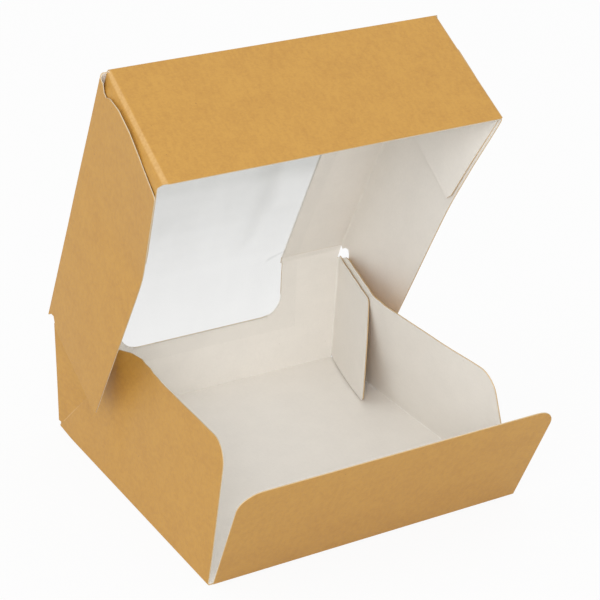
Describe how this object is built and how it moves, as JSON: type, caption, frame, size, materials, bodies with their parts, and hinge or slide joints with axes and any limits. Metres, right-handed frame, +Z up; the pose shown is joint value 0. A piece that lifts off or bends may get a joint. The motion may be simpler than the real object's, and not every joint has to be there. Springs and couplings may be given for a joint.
{
  "type": "takeaway box",
  "caption": "Folding kraft board takeaway box with a hinged hood lid, a clear window across lid and rear wall, and a fold-down front wall.",
  "frame": {"origin": "middle of the floor's underside, on the table", "axes": "+Z up, -Y towards the front wall that folds down, +X to the right of someone facing the open front"},
  "size_m": [0.1275, 0.1535, 0.1604],
  "materials": {
    "kraft_board": "matte brown kraft outside, pale grey-white inside",
    "window_film": "clear thin film, glossy"
  },
  "bodies": {
    "tray": {"tray": "kraft_board", "rear_film": "window_film"},
    "lid": {"lid": "kraft_board", "lid_film": "window_film"},
    "front_wall": {"front_wall": "kraft_board"}
  },
  "joints": [
    {"name": "lid_hinge", "type": "hinge", "parent": "tray", "child": "lid", "pos_m": [0, 0.06049, 0.05009], "axis": [-1, 0, 0], "range_deg": [-58, 121]},
    {"name": "front_wall_fold", "type": "hinge", "parent": "tray", "child": "front_wall", "pos_m": [0, -0.0645, 0.00029], "axis": [1, 0, 0], "range_deg": [-28.1, 58.6]}
  ],
  "couplings": [
    {"joint": "front_wall_fold", "follows": "lid_hinge", "ratio": 0.48276}
  ]
}
